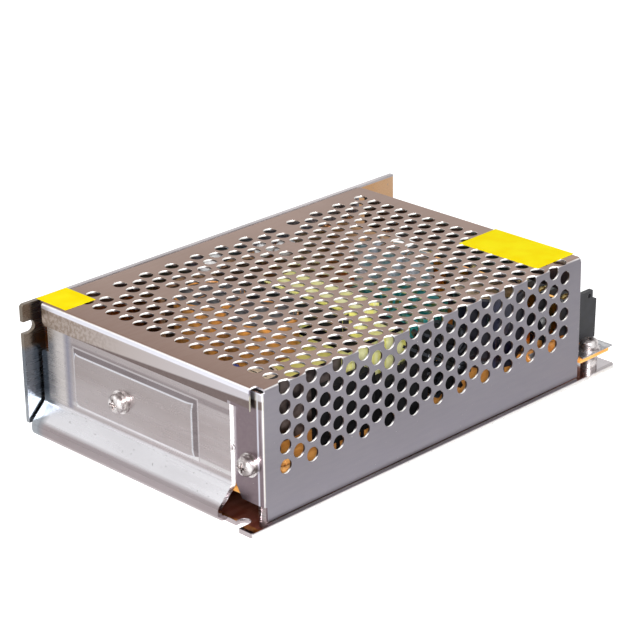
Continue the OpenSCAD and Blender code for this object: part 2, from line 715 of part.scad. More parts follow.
choke_z = board_z + choke_wire + choke_gap;
choke_turns = 22;
module output_choke_core() color("teal") translate([ring_x, ring_y, choke_z]) ring(choke_d, choke_bore, choke_t);
module output_choke_winding() color("olive") translate([ring_x, ring_y, choke_z])
    for (k = [0:choke_turns - 1]) rotate([0, 0, k * 330 / choke_turns])
        turn(choke_bore / 2, choke_d / 2, choke_t, choke_wire, choke_gap);

line_choke_d = 20;
line_choke_bore = 11;
line_choke_t = 9;
line_wire = 0.9;
line_base_t = 1.6;
module at_line_choke() translate([line_choke.x, line_choke.y + line_choke_t / 2, board_z + line_base_t + line_choke_d / 2 + line_wire + choke_gap])
    rotate([90, 0, 0]) children();
module line_choke_core() color("teal") at_line_choke() ring(line_choke_d, line_choke_bore, line_choke_t);
module line_choke_winding() color("sienna") at_line_choke()
    for (s = [0, 180], k = [-4:4]) rotate([0, 0, s + k * 15])
        turn(line_choke_bore / 2, line_choke_d / 2, line_choke_t, line_wire, choke_gap);

// ---------------------------------------------------------------- small parts

fuse_p = [51, side_y + cover_t + 3.8];
module fuse() translate([fuse_p.x - 10, fuse_p.y, board_z + 5]) rotate([0, 90, 0]) {
    color("white") translate([0, 0, 4.5]) cylinder(d = 4.6, h = 11, $fn = 48);
    color("silver") for (z = [0, 15]) translate([0, 0, z]) cylinder(d = 5.2, h = 5, $fn = 48);
}
module fuse_clips() color("silver") for (x = [-10, 5]) translate([fuse_p.x + x + 0.7, fuse_p.y, 0]) {
    gap = 0.05;
    along_x(0, 3.6) difference() {
        union() {
            translate([0, board_z + 5]) circle(d = 6.2 + 2 * gap, $fn = 48);
            rect([-2, board_z], [2, board_z + 3]);
        }
        translate([0, board_z + 5]) circle(d = 5.2 + 2 * gap, $fn = 48);
        rect([-1.6, board_z + 7], [1.6, board_z + 9]);
    }
}

// A flat package on legs: width, height and thickness of the body, its lift, and the tab's hole if it has one
module package(w, h, t, lift, legs, step, hole) {
    color("black") translate([0, 0, lift]) difference() {
        along_y(-t / 2, t / 2) difference() {
            rect([-w / 2, 0], [w / 2, h]);
            polygon([[w / 2 + eps, h + eps], [w / 2 - 1.2, h + eps], [w / 2 + eps, h - 1.2]]);
        }
        if (hole > 0) translate([0, -t, hole]) rotate([-90, 0, 0]) cylinder(d = tapped_d + 0.4, h = 2 * t, $fn = 48);
    }
    color("silver") for (k = [0:legs - 1])
        translate([(k - (legs - 1) / 2) * step - 0.5, -0.3, 0]) cube([1, 0.6, lift + 0.5]);
}

module bridge_rectifier() translate([-32, side_y + cover_t + 9, board_z]) package(22, 18, 4, 4, 4, 5, 0);

pad_t = 0.6;
package_t = 4.8;
tab_h = 20;
rectifier_h = field_h - 2 * field_slope - 1.6;
clamp_bar_t = 2;
module at_wall(x) translate([x, y_wall - pad_t - package_t / 2, clamp_z - tab_h + 6]) children();
module switching_transistors() for (x = clamp_x) at_wall(x)
    package(15.6, tab_h, package_t, 3, 3, 5.4, tab_h - 9);
module at_panel() translate([recess_x + pad_t + package_t / 2, panel_screw.x, board_z])
    rotate([0, 0, 90]) children();
module output_rectifier() at_panel() package(15.6, rectifier_h, package_t, field_z - rectifier_h / 2 - board_z, 3, 5.4,
    panel_screw.y - field_z + rectifier_h / 2);

// Insulating pads between the packages and the metal
module insulating_pads() color("white") {
    for (x = clamp_x) along_y(y_wall - pad_t, y_wall) difference() {
        rect([x - 9, clamp_z - 12], [x + 9, clamp_z + 11]);
        translate([x, clamp_z]) circle(d = tapped_d + 0.4, $fn = 48);
    }
    along_x(recess_x, recess_x + pad_t) difference() {
        rect([panel_screw.x - 9, field_z - rectifier_h / 2], [panel_screw.x + 9, field_z + rectifier_h / 2]);
        translate(panel_screw) circle(d = tapped_d + 0.4, $fn = 48);
    }
}

// The bar that presses both packages to the wall, tapped for its screws
module clamp_bar() color("silver") {
    y1 = y_wall - pad_t - package_t;
    along_y(y1 - clamp_bar_t, y1) difference() {
        rect([clamp_x[0] - 7, clamp_z - 4], [clamp_x[1] + 7, clamp_z + 4]);
        for (x = clamp_x) translate([x, clamp_z]) circle(d = tapped_d, $fn = 48);
    }
}
module clamp_screws() color("silver") for (x = clamp_x)
    csk_screw(x, clamp_z, chassis_t + pad_t + package_t + clamp_bar_t + 0.8);

// A dual in-line chip
module control_ic() translate([board_x0 + 12, board_y0 + 42, board_z]) {
    color("black") block([-3.2, -9.7, 0.8], [3.2, 9.7, 4.2]);
    color("silver") for (s = [-1, 1], k = [-3.5:3.5])
        block([s < 0 ? -3.9 : 3.1, k * 2.54 - 0.25, 0], [s < 0 ? -3.1 : 3.9, k * 2.54 + 0.25, 2.4]);
}

// The small drive transformer: a core with its own taped coil
module driver_transformer() translate([-9.6, side_y + cover_t + 8.5, board_z]) {
    color("black") difference() {
        block([-9.5, -2.6, 2], [9.5, 2.6, 17]);
        block([-6.9, -3, 4.6], [6.9, 3, 14.4]);
    }
    color("khaki") block([-6.8, -5.4, 4.7], [6.8, 5.4, 14.3]);
    color("black") block([-8, -6.6, 0], [8, 6.6, 2]);
}

// Film resistors lying on the board
module resistor(p, turn) translate([p.x, p.y, board_z + 1.7]) rotate([0, 0, turn]) rotate([0, 90, 0]) {
    color("lightblue") {
        cylinder(d = 2.6, h = 7, center = true, $fn = 32);
        for (s = [-1, 1]) translate([0, 0, s * 3]) cylinder(d = 3.2, h = 2, center = true, $fn = 32);
    }
    color("silver") for (s = [-1, 1]) {
        translate([0, 0, s * 4.5]) cylinder(d = 0.7, h = 3, center = true, $fn = 24);
        translate([0.5, 0, s * 6]) rotate([0, 90, 0]) cylinder(d = 0.7, h = 2.4, center = true, $fn = 24);
    }
}
resistor_row = [for (k = [0:3]) [board_x0 + 16 + 4.6 * k, board_y1 - 16]];
module resistors() {
    for (p = resistor_row) resistor(p, 90);
    for (k = [0:2]) resistor([board_x0 + 15.4, board_y0 + 2.4 + 4.6 * k], 0);
}

module led() translate([trimmer.x - 6.8, trimmer.y, board_z]) color("limegreen") {
    rotate_extrude($fn = 48) polygon(concat([[0, 3], [1.9, 3], [1.9, 4], [1.5, 4]], arc([0, 6.6], 1.5, 0, 90, 6)));
    for (s = [-1, 1]) translate([s * 1.27, 0, 0]) cylinder(d = 0.5, h = 3.2, $fn = 24);
}

// The output voltage trimmer: a square body with a slotted rotor that turns in it
module trimmer_body() color("royalblue") translate([trimmer.x, trimmer.y, board_z]) difference() {
    block([-3.6, -3.6, 0], [3.6, 3.6, 5]);
    translate([0, 0, 3.4]) cylinder(d = rotor_d + 2 * shank_gap, h = 3, $fn = 48);
}
module trimmer_rotor() color("white") translate([trimmer.x, trimmer.y, board_z]) difference() {
    translate([0, 0, 3.4]) cylinder(d = rotor_d, h = rotor_z - board_z - 3.4, $fn = 48);
    translate([-rotor_d / 2 - 1, -0.35, rotor_z - board_z - 1]) cube([rotor_d + 2, 0.7, 2]);
}

// ---------------------------------------------------------------- terminal block

function pole_y(k) = block_y0 + barrier_t + (pole_pitch - barrier_t) / 2 + k * pole_pitch;

// End view of a barrier: a high back part, and a step down to the front
module barrier_outline() {
    step_x = block_x1 - 1.9;
    step_z = block_z1 - 3.4;
    difference() {
        polygon([[block_x0, block_z0], [block_x1 - 0.4, block_z0], [block_x1, step_z], [step_x, step_z + 0.4],
                 [step_x, block_z1], [block_x0, block_z1]]);
        translate([block_x1 - 3.6, block_z1 - 1.6]) circle(d = 1.4, $fn = 32);
    }
}

module terminal_block() color("black") {
    floor_z = pole_z - contact_t;
    for (k = [0:poles]) along_y(block_y0 + k * pole_pitch, block_y0 + k * pole_pitch + barrier_t) barrier_outline();
    difference() {
        along_y(block_y0 + eps, block_y0 + block_w - eps) difference() {
            polygon([[block_x0, block_z0], [block_x1 - 0.8, block_z0], [block_x1 - 0.6, floor_z],
                     [block_x0 + block_wall, floor_z], [block_x0 + block_wall, block_z1 - 1],
                     [block_x0, block_z1 - 1]]);
            rect([block_x0 + 4, block_z0 - 1], [block_x1 - 4, block_z0 + 4]);
        }
        // wells for the screws' ends
        for (k = [0:poles - 1]) translate([pole_x, pole_y(k), block_z0 + 2])
            cylinder(d = stud_d + 0.8, h = block_h, $fn = 48);
    }
    // feet on the board
    for (y = [block_y0 + 3, block_y0 + block_w - 3], x = [block_x0 + 1.6, block_x1 - 4.4])
        translate([x, y, board_z]) cylinder(d = 2.4, h = block_foot + eps, $fn = 32);
}

// Contact plates, each bent down behind the block and into the board
module terminal_contacts() color("goldenrod") {
    half = (pole_pitch - barrier_t) / 2 - clamp_gap;
    for (k = [0:poles - 1]) {
        along_z(pole_z - contact_t, pole_z) translate([0, pole_y(k)]) difference() {
            rect([block_x0 + block_wall, -half], [block_x1 - 1, half]);
            translate([pole_x, 0]) circle(d = stud_d + 2 * shank_gap, $fn = 48);
        }
        along_y(pole_y(k) - 2.4, pole_y(k) + 2.4) difference() {
            rect([block_x0 - 0.8, board_z], [block_x0 + 0.4, block_z1]);
            rect([block_x0, board_z - 1], [block_x0 + 1, block_z1 - 1]);
        }
    }
}

// A clamping plate with a raised edge before and behind the screw, resting on its contact
module clamp_plate(k) color("silver") translate([pole_x, pole_y(k), pole_z]) difference() {
    edge = screw_head_d / 2 + 0.3;
    along_y(-clamp_w / 2, clamp_w / 2) difference() {
        rect([-edge - 0.8, 0], [edge + 0.8, clamp_t + 0.5]);
        rect([-edge, clamp_t], [edge, clamp_t + 1]);
    }
    translate([0, 0, -1]) cylinder(d = stud_d + 2 * shank_gap, h = clamp_t + 3, $fn = 48);
}

// A captive terminal screw with a combined slot and cross
module terminal_screw(k) color("gold") translate([pole_x, pole_y(k), pole_z + clamp_t + 0.02]) difference() {
    r = screw_head_d / 2;
    stud_l = pole_z - block_z0 - 2.6 + clamp_t;
    union() {
        translate([0, 0, -stud_l]) cylinder(d = stud_d, h = stud_l, $fn = 48);
        rotate_extrude($fn = 64) polygon(concat([[0, -eps], [r, -eps]],
            arc([r - 1.2, screw_head_h - 1.2], 1.2, 0, 90, 6), [[0, screw_head_h]]));
    }
    cross_recess(screw_head_d * 0.6, 1.4, screw_head_h);
    translate([-r - 1, -0.5, screw_head_h - 0.9]) cube([2 * r + 2, 1, 2]);
}

chassis();
cover();
circuit_board();
ground_plate();
board_standoffs();
board_screws();
case_screws();
spring_washers();
flat_washers();
wall_screws();
labels();
transformer_core();
transformer_bobbin();
transformer_winding();
core_tape();
bulk_capacitor_1();
bulk_capacitor_2();
line_capacitor();
output_capacitors();
aux_capacitor();
output_choke_core();
output_choke_winding();
line_choke_core();
line_choke_winding();
x_capacitor();
y_capacitors();
varistor();
thermistor();
fuse();
fuse_clips();
bridge_rectifier();
switching_transistors();
output_rectifier();
insulating_pads();
clamp_bar();
clamp_screws();
control_ic();
driver_transformer();
resistors();
led();
trimmer_body();
trimmer_rotor();
terminal_block();
terminal_contacts();
for (i = [1:poles]) {
    clamp_plate(i - 1);
    terminal_screw(i - 1);
}
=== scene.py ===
"""Mesh case switching power supply: finishes, broken edges, small fittings, floor, light and camera."""

import math

import bpy
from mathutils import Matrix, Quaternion, Vector


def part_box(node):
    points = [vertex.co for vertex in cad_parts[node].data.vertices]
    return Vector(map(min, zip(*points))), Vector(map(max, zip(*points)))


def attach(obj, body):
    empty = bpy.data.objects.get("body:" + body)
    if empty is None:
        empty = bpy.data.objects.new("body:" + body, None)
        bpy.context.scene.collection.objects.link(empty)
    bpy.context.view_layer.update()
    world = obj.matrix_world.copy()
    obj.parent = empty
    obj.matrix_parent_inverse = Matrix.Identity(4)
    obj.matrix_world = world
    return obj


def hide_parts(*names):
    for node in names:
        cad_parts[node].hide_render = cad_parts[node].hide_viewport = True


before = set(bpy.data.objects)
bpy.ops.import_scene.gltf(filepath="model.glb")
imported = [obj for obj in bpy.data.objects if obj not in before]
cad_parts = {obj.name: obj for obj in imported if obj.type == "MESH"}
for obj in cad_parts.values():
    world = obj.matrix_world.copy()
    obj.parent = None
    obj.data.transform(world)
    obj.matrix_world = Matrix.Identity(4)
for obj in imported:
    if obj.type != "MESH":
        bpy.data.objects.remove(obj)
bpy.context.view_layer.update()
bpy.ops.object.select_all(action="DESELECT")

MM = 0.001
CASE = "case"

# Directions: along the case from its folded end, across it from its open side to its wall, and up
ALONG = (1, 0, 0)
ACROSS = (0, 1, 0)
UP = (0, 0, 1)
# A distance in metres that is past every side of the case
OUT = 1

# ------------------------------------------------------------ places, taken from the parts in model.glb

chassis_low, chassis_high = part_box("chassis")
cover_low, cover_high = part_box("cover")
board_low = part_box("circuit_board")[0]
coil_low, coil_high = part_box("transformer_winding")
core_low, core_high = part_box("transformer_core")

# The raised field in the end panel: its middle, its size and its sloping border
FIELD_Y = 4.8 * MM
FIELD_Z = 21.9 * MM
FIELD_LENGTH = 53.6 * MM
FIELD_HEIGHT = 19 * MM
FIELD_SLOPE = 1.5 * MM
FIELD_LEFT = FIELD_Y + FIELD_LENGTH / 2
FIELD_RIGHT = FIELD_Y - FIELD_LENGTH / 2
FIELD_TOP = FIELD_Z + FIELD_HEIGHT / 2
FIELD_FOOT = FIELD_Z - FIELD_HEIGHT / 2
# Height at which the leaning foot of the end panel becomes upright
FLARE_TOP = 11.5 * MM
# Where the chassis' folded end stops and its inside begins
FOLDED_END = chassis_low.x + 8 * MM

# ------------------------------------------------------------ node helpers


def add(tree, kind, inputs=None, **props):
    """Adds a node, sets its properties, and links or sets its inputs."""
    node = tree.nodes.new(kind)
    for key, value in props.items():
        setattr(node, key, value)
    for key, value in (inputs or {}).items():
        socket = node.inputs[key]
        if isinstance(value, bpy.types.NodeSocket):
            tree.links.new(value, socket)
        else:
            socket.default_value = value
    return node


def maths(tree, operation, a, b=0.0, clamp=False):
    return add(tree, "ShaderNodeMath", {0: a, 1: b}, operation=operation, use_clamp=clamp).outputs[0]


def product(tree, first, *others):
    """Masks and numbers multiplied together."""
    for other in others:
        first = maths(tree, "MULTIPLY", first, other)
    return first


def ramp(tree, mask, start, rise):
    """start where the mask is 0, and start + rise where it is 1."""
    return maths(tree, "ADD", product(tree, mask, rise), start)


def mix(tree, factor, a, b):
    """Colour a where the factor is 0, and colour b where it is 1."""
    return add(tree, "ShaderNodeMix", {0: factor, 6: a, 7: b}, data_type="RGBA").outputs[2]


def step(tree, value, low, high):
    """0 below low, 1 above high, smooth between."""
    inputs = {"Value": value, "From Min": low, "From Max": high}
    return add(tree, "ShaderNodeMapRange", inputs, interpolation_type="SMOOTHSTEP").outputs[0]


def colour(r, g, b):
    """A colour given as it shows on screen, from 0 to 255, in linear light."""
    linear = [c / 255 / 12.92 if c < 10.3 else ((c / 255 + 0.055) / 1.055) ** 2.4 for c in (r, g, b)]
    return (*linear, 1)


def new_group(name, inputs, outputs):
    """An empty node group with named sockets. Returns the tree, its input node and its output node."""
    tree = bpy.data.node_groups.new(name, "ShaderNodeTree")
    for label, kind, value in inputs:
        socket = tree.interface.new_socket(label, in_out="INPUT", socket_type=kind)
        socket.default_value = value
    for label, kind in outputs:
        tree.interface.new_socket(label, in_out="OUTPUT", socket_type=kind)
    return tree, tree.nodes.new("NodeGroupInput"), tree.nodes.new("NodeGroupOutput")


def make_patches_group():
    """Soft patches of any size: a stretched noise turned into a mask."""
    tree, source, sink = new_group(
        "patches",
        [("Scale", "NodeSocketFloat", 100.0), ("Stretch", "NodeSocketVector", (1, 1, 1)),
         ("Low", "NodeSocketFloat", 0.4), ("High", "NodeSocketFloat", 0.6),
         ("Detail", "NodeSocketFloat", 3.0)],
        [("Mask", "NodeSocketFloat")],
    )
    place = add(tree, "ShaderNodeTexCoord").outputs["Object"]
    scaled = add(tree, "ShaderNodeVectorMath", {0: place, 1: source.outputs["Stretch"]}, operation="MULTIPLY")
    noise = add(tree, "ShaderNodeTexNoise", {"Vector": scaled.outputs[0], "Scale": source.outputs["Scale"],
                                             "Detail": source.outputs["Detail"]})
    mask = step(tree, noise.outputs["Fac"], source.outputs["Low"], source.outputs["High"])
    tree.links.new(mask, sink.inputs["Mask"])
    return tree


def make_facing_group():
    """How squarely the surface faces along an axis, either way: 1 where it does, 0 where it lies along it."""
    tree, source, sink = new_group(
        "facing",
        [("Axis", "NodeSocketVector", UP), ("Low", "NodeSocketFloat", 0.6), ("High", "NodeSocketFloat", 0.9)],
        [("Mask", "NodeSocketFloat")],
    )
    normal = add(tree, "ShaderNodeTexCoord").outputs["Normal"]
    dot = add(tree, "ShaderNodeVectorMath", {0: normal, 1: source.outputs["Axis"]}, operation="DOT_PRODUCT")
    squareness = maths(tree, "ABSOLUTE", dot.outputs["Value"])
    tree.links.new(step(tree, squareness, source.outputs["Low"], source.outputs["High"]), sink.inputs["Mask"])
    return tree


def make_band_group():
    """1 where the distance along an axis lies between two values, with soft ends."""
    tree, source, sink = new_group(
        "band",
        [("Axis", "NodeSocketVector", UP), ("From", "NodeSocketFloat", 0.0), ("To", "NodeSocketFloat", 1.0),
         ("Soft", "NodeSocketFloat", 0.0002)],
        [("Mask", "NodeSocketFloat")],
    )
    place = add(tree, "ShaderNodeTexCoord").outputs["Object"]
    dot = add(tree, "ShaderNodeVectorMath", {0: place, 1: source.outputs["Axis"]}, operation="DOT_PRODUCT")
    distance = dot.outputs["Value"]
    past_start = maths(tree, "SUBTRACT", distance, source.outputs["From"])
    short_of_end = maths(tree, "SUBTRACT", source.outputs["To"], distance)
    rise = maths(tree, "DIVIDE", past_start, source.outputs["Soft"], clamp=True)
    fall = maths(tree, "DIVIDE", short_of_end, source.outputs["Soft"], clamp=True)
    tree.links.new(product(tree, rise, fall), sink.inputs["Mask"])
    return tree


GROUPS = {"patches": make_patches_group(), "facing": make_facing_group(), "band": make_band_group()}


def use(tree, name, **values):
    """Places a node group and returns its mask."""
    node = tree.nodes.new("ShaderNodeGroup")
    node.node_tree = GROUPS[name]
    for key, value in values.items():
        node.inputs[key].default_value = value
    return node.outputs["Mask"]


def patches(tree, scale, low=0.4, high=0.6, stretch=(1, 1, 1), detail=3.0):
    return use(tree, "patches", Scale=scale, Low=low, High=high, Stretch=stretch, Detail=detail)


def facing(tree, axis, low=0.6, high=0.9):
    return use(tree, "facing", Axis=axis, Low=low, High=high)


def band(tree, axis, start, end, soft=0.2 * MM):
    return use(tree, "band", Axis=axis, From=start, To=end, Soft=soft)


def new_material(name, roughness=0.5, metallic=0.0, **constants):
    """A material with its Principled shader; the constants go on the shader's own sockets."""
    material = bpy.data.materials.new(name)
    material.use_nodes = True
    tree = material.node_tree
    shader = tree.nodes["Principled BSDF"]
    shader.inputs["Roughness"].default_value = roughness
    shader.inputs["Metallic"].default_value = metallic
    for key, value in constants.items():
        shader.inputs[key].default_value = value
    return material, tree, shader


def feed(tree, shader, **sources):
    """Links what varies over the surface to the shader's sockets; Base_Color stands for Base Color."""
    for label, source in sources.items():
        tree.links.new(source, shader.inputs[label.replace("_", " ")])


def set_bump(tree, shader, height, strength, distance):
    bump = add(tree, "ShaderNodeBump", {"Height": height, "Strength": strength, "Distance": distance})
    feed(tree, shader, Normal=bump.outputs["Normal"])


# ------------------------------------------------------------ the cover's plated steel


def cover_top_tone(tree, cloud):
    """The top: pinkish brown, darker towards the folded end; its tint against the side's grey is a painted
    reflection.
    """
    tone = mix(tree, cloud, colour(148, 121, 108), colour(164, 138, 126))
    near_end = band(tree, ALONG, -OUT, cover_low.x + 26 * MM, 30 * MM)
    return mix(tree, near_end, tone, colour(132, 102, 88))


def cover_side_tone(tree, cloud):
    """The open side: cool grey, a painted reflection, with the lower half painted lighter against the floor's
    reflected shadow and a cream painted reflection down the bend at the folded end.
    """
    tone = mix(tree, cloud, colour(136, 132, 139), colour(145, 141, 149))
    # Painted light: the lower half is made lighter to cancel the floor's shadow reflected in it.
    lightened_low_half = band(tree, UP, -OUT, 24 * MM, 22 * MM)
    tone = mix(tree, lightened_low_half, tone, colour(146, 142, 150))
    # Painted reflection: a cream strip down the bend at the folded end.
    bend = band(tree, ALONG, -OUT, cover_low.x + 2.1 * MM)
    upright = band(tree, UP, 7.5 * MM, cover_high.z - 2 * MM, 1 * MM)
    return mix(tree, product(tree, bend, upright), tone, colour(236, 234, 210))


def cover_end_tone(tree):
    """The lip over the end panel, the flange with its screw, and the two bends that they start from: a
    painted shadow along the lip's slanted foot, painted reflections streaked over the flange, and a painted
    highlight on each bend.
    """
    toward_open_side = band(tree, ACROSS, -OUT, cover_high.y, 96 * MM)
    tone = mix(tree, toward_open_side, colour(176, 160, 148), colour(206, 202, 208))
    speckle = product(tree, patches(tree, 900, 0.4, 0.6), band(tree, ACROSS, 8 * MM, OUT, 25 * MM), 0.6)
    tone = mix(tree, speckle, tone, colour(128, 108, 92))
    # Painted shadow under the lip, along a slightly slanted line.
    slanted_foot_shadow = band(tree, (0, 0.044, 1), -OUT, cover_high.z - 5.4 * MM, 0.5 * MM)
    tone = mix(tree, slanted_foot_shadow, tone, colour(116, 102, 100))
    # Painted reflection: the flange's mirrored mauve tones, in streaks.
    mirrored_streaks = patches(tree, 260, 0.56, 0.66, (1, 1, 0.08))
    flange_tone = mix(tree, mirrored_streaks, colour(124, 110, 116), colour(170, 162, 168))
    beside_panel = band(tree, ACROSS, -OUT, cover_low.y + 12.5 * MM)
    under_lip = band(tree, UP, -OUT, cover_high.z - 6 * MM)
    tone = mix(tree, product(tree, beside_panel, under_lip), tone, flange_tone)
    # Painted highlights along the side bend and the top bend.
    side_bend_highlight = band(tree, ACROSS, cover_low.y + 1.6 * MM, cover_low.y + 2.6 * MM, 0.4 * MM)
    tone = mix(tree, side_bend_highlight, tone, colour(214, 214, 226))
    top_bend_highlight = band(tree, UP, cover_high.z - 1.8 * MM, cover_high.z - 0.2 * MM, 0.3 * MM)
    return mix(tree, top_bend_highlight, tone, colour(240, 240, 250))


def cover_edges(tree):
    """1 on the edges of the holes and the bends of the top and the open side, 0 on their flat faces."""
    on_top = band(tree, UP, cover_high.z - 0.7 * MM, OUT)
    on_side = band(tree, ACROSS, -OUT, cover_low.y + 0.7 * MM)
    flat_top = product(tree, facing(tree, UP, 0.55, 0.95), on_top)
    flat_side = product(tree, facing(tree, ACROSS, 0.55, 0.95), on_side)
    flat = maths(tree, "MAXIMUM", flat_top, flat_side)
    flat = maths(tree, "MAXIMUM", flat, facing(tree, ALONG, 0.55, 0.95))
    sheet = maths(tree, "MAXIMUM", on_top, on_side)
    return product(tree, sheet, maths(tree, "SUBTRACT", 1.0, flat, clamp=True))


def cover_steel():
    """Plated steel: brownish on top and greyer on the side, the difference a painted reflection, with painted
    highlights on the punched edges and the bends, and a few specks.
    """
    material, tree, shader = new_material("cover_steel", metallic=1.0)
    cloud = patches(tree, 22, 0.35, 0.7)
    grain = patches(tree, 900, 0.3, 0.7, (0.15, 1, 1))
    edges = cover_edges(tree)
    is_side = facing(tree, ACROSS, 0.3, 0.8)
    is_end = facing(tree, ALONG, 0.3, 0.8)
    # Painted reflection: the top, the side and the end each get their own tone.
    base = mix(tree, is_side, cover_top_tone(tree, cloud), cover_side_tone(tree, cloud))
    base = mix(tree, is_end, base, cover_end_tone(tree))
    base = mix(tree, product(tree, grain, 0.05), base, colour(190, 180, 174))
    # Painted highlight: the hole edges and bends turn white and almost stop being metallic.
    base = mix(tree, edges, base, colour(255, 253, 250))
    specks = patches(tree, 1500, 0.80, 0.84, detail=1.0)
    base = mix(tree, specks, base, colour(225, 220, 215))
    feed(tree, shader, Base_Color=base, Roughness=ramp(tree, cloud, 0.28, 0.10))
    feed(tree, shader, Metallic=ramp(tree, edges, 1, -0.85))
    set_bump(tree, shader, grain, 0.03, 0.02 * MM)
    return material


# ------------------------------------------------------------ the chassis' aluminium


def field_mask(tree, inset):
    """1 inside the end panel's raised field, drawn in by a margin."""
    across = band(tree, ACROSS, FIELD_RIGHT + inset, FIELD_LEFT - inset, 0.15 * MM)
    upward = band(tree, UP, FIELD_FOOT + inset, FIELD_TOP - inset, 0.15 * MM)
    return product(tree, across, upward)


def border_tone(tree):
    """The field's sloping border, whose sides catch the light differently."""
    tone = mix(tree, band(tree, ACROSS, 0, OUT), colour(140, 130, 132), colour(166, 166, 176))
    tone = mix(tree, band(tree, UP, FIELD_TOP - FIELD_SLOPE, OUT), tone, colour(128, 118, 120))
    return mix(tree, band(tree, UP, -OUT, FIELD_FOOT + FIELD_SLOPE), tone, colour(228, 226, 228))


def panel_tone(tree, grain):
    """The end panel: rolled streaks; the raised field with a painted shade over its top and painted
    highlights along its foot and round its border; and a pale stretch between the field and the wall with a
    painted reflection in it.
    """
    streaks = patches(tree, 40, 0.3, 0.7, (1, 0.25, 1.6))
    tone = mix(tree, streaks, colour(160, 149, 148), colour(180, 172, 173))
    tone = mix(tree, product(tree, grain, 0.2), tone, colour(200, 194, 196))
    # Painted shade over the top of the raised field.
    shade_over_field = band(tree, UP, FIELD_TOP - 0.8 * MM, FIELD_TOP + 1.6 * MM, 0.6 * MM)
    tone = mix(tree, shade_over_field, tone, colour(146, 136, 137))
    # Painted highlight along the field's foot.
    field_foot_highlight = band(tree, UP, FIELD_FOOT - 0.2 * MM, FIELD_FOOT + 1.6 * MM, 0.5 * MM)
    tone = mix(tree, field_foot_highlight, tone, colour(210, 207, 208))
    # Painted highlights round the field's border: a pale margin outside it and a bright line inside its
    # slope.
    tone = mix(tree, field_mask(tree, -0.5 * MM), tone, colour(192, 186, 188))
    tone = mix(tree, field_mask(tree, 0), tone, border_tone(tree))
    tone = mix(tree, field_mask(tree, FIELD_SLOPE - 0.4 * MM), tone, colour(224, 224, 230))
    flat = mix(tree, streaks, colour(164, 154, 153), colour(184, 176, 177))
    tone = mix(tree, field_mask(tree, FIELD_SLOPE), tone, flat)
    tone = mix(tree, band(tree, ACROSS, FIELD_LEFT, OUT, 5 * MM), tone, colour(206, 200, 198))
    # Painted reflection: a bluish band beside the field.
    reflection_beside_field = band(tree, ACROSS, FIELD_LEFT + 0.5 * MM, FIELD_LEFT + 5 * MM, 2 * MM)
    return mix(tree, reflection_beside_field, tone, colour(150, 148, 160))


def flare_tone(tree):
    """The panel's leaning foot: a painted highlight where it leans, darker on the base's edge and near the
    wall.
    """
    # Painted highlight where the foot leans.
    lean = band(tree, UP, 4.8 * MM, FLARE_TOP, 1 * MM)
    tone = mix(tree, lean, colour(158, 148, 150), colour(222, 221, 225))
    tone = mix(tree, band(tree, UP, -OUT, 2 * MM, 0.6 * MM), tone, colour(182, 173, 175))
    return mix(tree, band(tree, ACROSS, chassis_high.y - 8 * MM, OUT, 3 * MM), tone, colour(140, 146, 152))


def ear_tone(tree):
    """The end of the wall beside the panel, which darkens upwards."""
    tone = mix(tree, band(tree, UP, 10 * MM, OUT, 3 * MM), colour(160, 166, 172), colour(112, 118, 126))
    return mix(tree, band(tree, UP, 27 * MM, OUT, 2 * MM), tone, colour(128, 118, 106))


def folded_end_tone(tree, grain):
    below = band(tree, UP, -OUT, FLARE_TOP, 0.6 * MM)
    tone = mix(tree, below, panel_tone(tree, grain), flare_tone(tree))
    return mix(tree, band(tree, ACROSS, chassis_high.y - 5.4 * MM, OUT, 0.8 * MM), tone, ear_tone(tree))


def inner_wall(tree):
    """1 on the wall's inner face, where the board and the parts are reflected."""
    face = band(tree, ACROSS, chassis_high.y - 1.9 * MM, chassis_high.y - 1.3 * MM)
    upright = band(tree, UP, 1.6 * MM, chassis_high.z - 0.6 * MM)
    return product(tree, face, upright, band(tree, ALONG, FOLDED_END, OUT))


def base_corner(tree):
    """1 on the base's upper face in the open corner beside the end panel, which gets a painted reflection of
    the board's maroon underside.
    """
    near_end = band(tree, ALONG, -OUT, chassis_low.x + 9 * MM)
    open_side = band(tree, ACROSS, -OUT, chassis_low.y + 16 * MM)
    return product(tree, near_end, open_side, band(tree, UP, 1.46 * MM, 4 * MM), facing(tree, UP, 0.8, 0.95))


